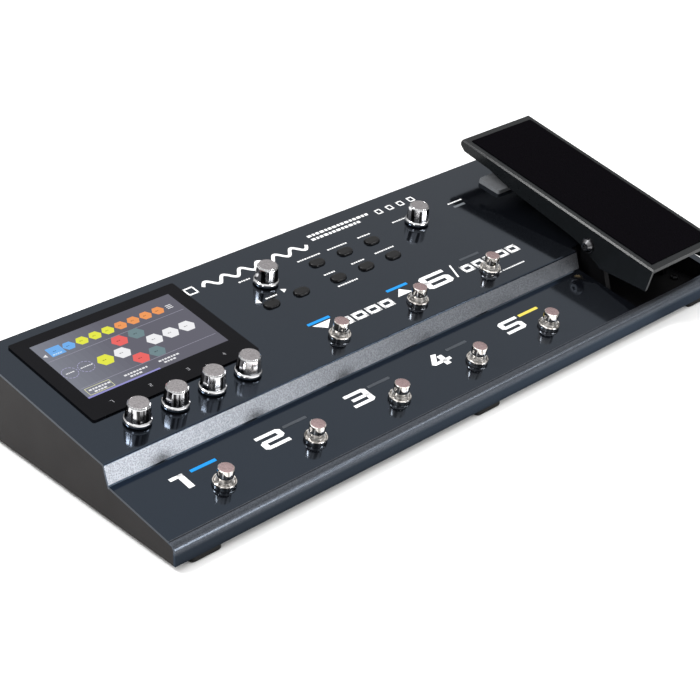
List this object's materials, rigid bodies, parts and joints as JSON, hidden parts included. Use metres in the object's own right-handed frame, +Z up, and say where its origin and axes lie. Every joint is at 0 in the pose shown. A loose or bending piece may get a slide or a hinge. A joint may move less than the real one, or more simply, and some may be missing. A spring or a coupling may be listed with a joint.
{
  "type": "guitar effects pedal",
  "caption": "Wedge-shaped floor unit with a stepped sheet-metal case, footswitches, touch display, knobs, push buttons and a tilting expression pedal at the right.",
  "frame": {"origin": "on the floor, under the middle of the whole object", "axes": "+X to the player's right along the long side, +Y to the rear where the sockets are, +Z up"},
  "size_m": [0.46, 0.18, 0.0771],
  "materials": {
    "deck_paint": "semi-gloss metallic paint",
    "case_paint": "matt powder coat",
    "treadle_paint": "satin metallic paint on a casting",
    "black_paint": "matt black paint",
    "grip_mat": "coarse grit grip sheet",
    "stop_rubber": "soft grey rubber",
    "foot_rubber": "moulded black rubber",
    "nickel_plate": "polished nickel plate",
    "fixing_steel": "zinc plated",
    "shaft_steel": "ground",
    "black_steel": "black oxide",
    "bush_bronze": "sintered bronze",
    "knob_chrome": "dark chrome plate, spun top",
    "button_plastic": "satin black",
    "screen_glass": "printed touch glass with a black border",
    "display_metal": "stamped display frame",
    "circuit_board": "solder mask",
    "light_guide": "clear light guide",
    "socket_shell": "plated shell",
    "switch_metal": "plated switch body",
    "socket_plastic": "moulded black"
  },
  "bodies": {
    "root": {"top_cover": "deck_paint", "chassis_tray": "case_paint", "rear_panel": "case_paint", "rubber_feet": "foot_rubber", "case_screws": "fixing_steel", "touch_glass": "screen_glass", "display_module": "display_metal", "panel_board": "circuit_board", "main_board": "circuit_board", "pedal_well": "black_paint", "pivot_bushes": "bush_bronze", "pedal_sensor": "socket_plastic", "toe_pad": "stop_rubber", "toe_switch": "socket_plastic", "usb_socket": "socket_shell", "power_inlet": "socket_plastic", "rocker_frame": "socket_plastic", "footswitch_bodies": "switch_metal", "footswitch_nuts": "nickel_plate", "encoder_housings": "socket_plastic", "level_pot": "socket_plastic", "key_switches": "socket_plastic", "light_bars": "light_guide", "jack_bodies": "socket_plastic", "jack_nuts": "fixing_steel", "mini_jacks": "socket_plastic"},
    "pedal": {"treadle": "treadle_paint", "treadle_mat": "grip_mat", "pivot_shaft": "shaft_steel", "pivot_bolts": "black_steel", "pivot_washers": "black_steel"},
    "footswitch_cap_1": {"footswitch_cap_1": "nickel_plate"},
    "footswitch_cap_2": {"footswitch_cap_2": "nickel_plate"},
    "footswitch_cap_3": {"footswitch_cap_3": "nickel_plate"},
    "footswitch_cap_4": {"footswitch_cap_4": "nickel_plate"},
    "footswitch_cap_5": {"footswitch_cap_5": "nickel_plate"},
    "footswitch_cap_6": {"footswitch_cap_6": "nickel_plate"},
    "footswitch_cap_7": {"footswitch_cap_7": "nickel_plate"},
    "footswitch_cap_8": {"footswitch_cap_8": "nickel_plate"},
    "page_button_left": {"page_button_left": "button_plastic"},
    "page_button_right": {"page_button_right": "button_plastic"},
    "upper_button_1": {"upper_button_1": "button_plastic"},
    "lower_button_1": {"lower_button_1": "button_plastic"},
    "upper_button_2": {"upper_button_2": "button_plastic"},
    "lower_button_2": {"lower_button_2": "button_plastic"},
    "upper_button_3": {"upper_button_3": "button_plastic"},
    "lower_button_3": {"lower_button_3": "button_plastic"},
    "encoder_rotor_1": {"encoder_rotor_1": "socket_plastic"},
    "screen_knob_1": {"screen_knob_1": "knob_chrome"},
    "encoder_rotor_2": {"encoder_rotor_2": "socket_plastic"},
    "screen_knob_2": {"screen_knob_2": "knob_chrome"},
    "encoder_rotor_3": {"encoder_rotor_3": "socket_plastic"},
    "screen_knob_3": {"screen_knob_3": "knob_chrome"},
    "encoder_rotor_4": {"encoder_rotor_4": "socket_plastic"},
    "screen_knob_4": {"screen_knob_4": "knob_chrome"},
    "encoder_rotor_5": {"encoder_rotor_5": "socket_plastic"},
    "select_knob": {"select_knob": "knob_chrome"},
    "level_knob": {"level_knob": "knob_chrome"},
    "rocker": {"rocker": "socket_plastic"},
    "toe_plunger": {"toe_plunger": "socket_plastic"}
  },
  "joints": [
    {"name": "pedal_tilt", "type": "hinge", "parent": "root", "child": "pedal", "pos_m": [0.1847, -0.0379, 0.041], "axis": [1, 0, 0], "range_deg": [-8, 10]},
    {"name": "footswitch_press_1", "type": "slide", "parent": "root", "child": "footswitch_cap_1", "axis": [0, 0.1578, -0.9875], "range_m": [0, 0.0015], "stiffness_N_per_m": 2000, "springref_m": -0.001},
    {"name": "footswitch_press_2", "type": "slide", "parent": "root", "child": "footswitch_cap_2", "axis": [0, 0.1578, -0.9875], "range_m": [0, 0.0015], "stiffness_N_per_m": 2000, "springref_m": -0.001},
    {"name": "footswitch_press_3", "type": "slide", "parent": "root", "child": "footswitch_cap_3", "axis": [0, 0.1578, -0.9875], "range_m": [0, 0.0015], "stiffness_N_per_m": 2000, "springref_m": -0.001},
    {"name": "footswitch_press_4", "type": "slide", "parent": "root", "child": "footswitch_cap_4", "axis": [0, 0.1578, -0.9875], "range_m": [0, 0.0015], "stiffness_N_per_m": 2000, "springref_m": -0.001},
    {"name": "footswitch_press_5", "type": "slide", "parent": "root", "child": "footswitch_cap_5", "axis": [0, 0.1578, -0.9875], "range_m": [0, 0.0015], "stiffness_N_per_m": 2000, "springref_m": -0.001},
    {"name": "footswitch_press_6", "type": "slide", "parent": "root", "child": "footswitch_cap_6", "axis": [0, 0.1399, -0.9902], "range_m": [0, 0.0015], "stiffness_N_per_m": 2000, "springref_m": -0.001},
    {"name": "footswitch_press_7", "type": "slide", "parent": "root", "child": "footswitch_cap_7", "axis": [0, 0.1399, -0.9902], "range_m": [0, 0.0015], "stiffness_N_per_m": 2000, "springref_m": -0.001},
    {"name": "footswitch_press_8", "type": "slide", "parent": "root", "child": "footswitch_cap_8", "axis": [0, 0.1399, -0.9902], "range_m": [0, 0.0015], "stiffness_N_per_m": 2000, "springref_m": -0.001},
    {"name": "page_button_left_press", "type": "slide", "parent": "root", "child": "page_button_left", "axis": [0, 0.1399, -0.9902], "range_m": [0, 0.0005], "stiffness_N_per_m": 1000, "springref_m": -0.0006},
    {"name": "page_button_right_press", "type": "slide", "parent": "root", "child": "page_button_right", "axis": [0, 0.1399, -0.9902], "range_m": [0, 0.0005], "stiffness_N_per_m": 1000, "springref_m": -0.0006},
    {"name": "upper_button_1_press", "type": "slide", "parent": "root", "child": "upper_button_1", "axis": [0, 0.1399, -0.9902], "range_m": [0, 0.0005], "stiffness_N_per_m": 1000, "springref_m": -0.0006},
    {"name": "lower_button_1_press", "type": "slide", "parent": "root", "child": "lower_button_1", "axis": [0, 0.1399, -0.9902], "range_m": [0, 0.0005], "stiffness_N_per_m": 1000, "springref_m": -0.0006},
    {"name": "upper_button_2_press", "type": "slide", "parent": "root", "child": "upper_button_2", "axis": [0, 0.1399, -0.9902], "range_m": [0, 0.0005], "stiffness_N_per_m": 1000, "springref_m": -0.0006},
    {"name": "lower_button_2_press", "type": "slide", "parent": "root", "child": "lower_button_2", "axis": [0, 0.1399, -0.9902], "range_m": [0, 0.0005], "stiffness_N_per_m": 1000, "springref_m": -0.0006},
    {"name": "upper_button_3_press", "type": "slide", "parent": "root", "child": "upper_button_3", "axis": [0, 0.1399, -0.9902], "range_m": [0, 0.0005], "stiffness_N_per_m": 1000, "springref_m": -0.0006},
    {"name": "lower_button_3_press", "type": "slide", "parent": "root", "child": "lower_button_3", "axis": [0, 0.1399, -0.9902], "range_m": [0, 0.0005], "stiffness_N_per_m": 1000, "springref_m": -0.0006},
    {"name": "screen_knob_1_turn", "type": "hinge", "parent": "root", "child": "encoder_rotor_1", "pos_m": [-0.19425, -0.01488, 0.03913], "axis": [0, -0.1399, 0.9902], "continuous": true},
    {"name": "screen_knob_1_press", "type": "slide", "parent": "encoder_rotor_1", "child": "screen_knob_1", "axis": [0, 0.1399, -0.9902], "range_m": [0, 0.0005], "stiffness_N_per_m": 2000, "springref_m": -0.0006},
    {"name": "screen_knob_2_turn", "type": "hinge", "parent": "root", "child": "encoder_rotor_2", "pos_m": [-0.16865, -0.01488, 0.03913], "axis": [0, -0.1399, 0.9902], "continuous": true},
    {"name": "screen_knob_2_press", "type": "slide", "parent": "encoder_rotor_2", "child": "screen_knob_2", "axis": [0, 0.1399, -0.9902], "range_m": [0, 0.0005], "stiffness_N_per_m": 2000, "springref_m": -0.0006},
    {"name": "screen_knob_3_turn", "type": "hinge", "parent": "root", "child": "encoder_rotor_3", "pos_m": [-0.14305, -0.01488, 0.03913], "axis": [0, -0.1399, 0.9902], "continuous": true},
    {"name": "screen_knob_3_press", "type": "slide", "parent": "encoder_rotor_3", "child": "screen_knob_3", "axis": [0, 0.1399, -0.9902], "range_m": [0, 0.0005], "stiffness_N_per_m": 2000, "springref_m": -0.0006},
    {"name": "screen_knob_4_turn", "type": "hinge", "parent": "root", "child": "encoder_rotor_4", "pos_m": [-0.11745, -0.01488, 0.03913], "axis": [0, -0.1399, 0.9902], "continuous": true},
    {"name": "screen_knob_4_press", "type": "slide", "parent": "encoder_rotor_4", "child": "screen_knob_4", "axis": [0, 0.1399, -0.9902], "range_m": [0, 0.0005], "stiffness_N_per_m": 2000, "springref_m": -0.0006},
    {"name": "select_knob_turn", "type": "hinge", "parent": "root", "child": "encoder_rotor_5", "pos_m": [-0.0496, 0.04721, 0.0479], "axis": [0, -0.1399, 0.9902], "continuous": true},
    {"name": "select_knob_press", "type": "slide", "parent": "encoder_rotor_5", "child": "select_knob", "axis": [0, 0.1399, -0.9902], "range_m": [0, 0.0005], "stiffness_N_per_m": 2000, "springref_m": -0.0006},
    {"name": "level_knob_turn", "type": "hinge", "parent": "root", "child": "level_knob", "pos_m": [0.0798, 0.04721, 0.0479], "axis": [0, -0.1399, 0.9902], "range_deg": [-150, 150]},
    {"name": "power_rocker_tilt", "type": "hinge", "parent": "root", "child": "rocker", "pos_m": [-0.185, 0.0825, 0.026], "axis": [0, 0, 1], "range_deg": [-16, 0]},
    {"name": "toe_switch_press", "type": "slide", "parent": "root", "child": "toe_plunger", "axis": [0, 0.1399, -0.9902], "range_m": [0, 0.0015], "stiffness_N_per_m": 2000, "springref_m": -0.001}
  ]
}
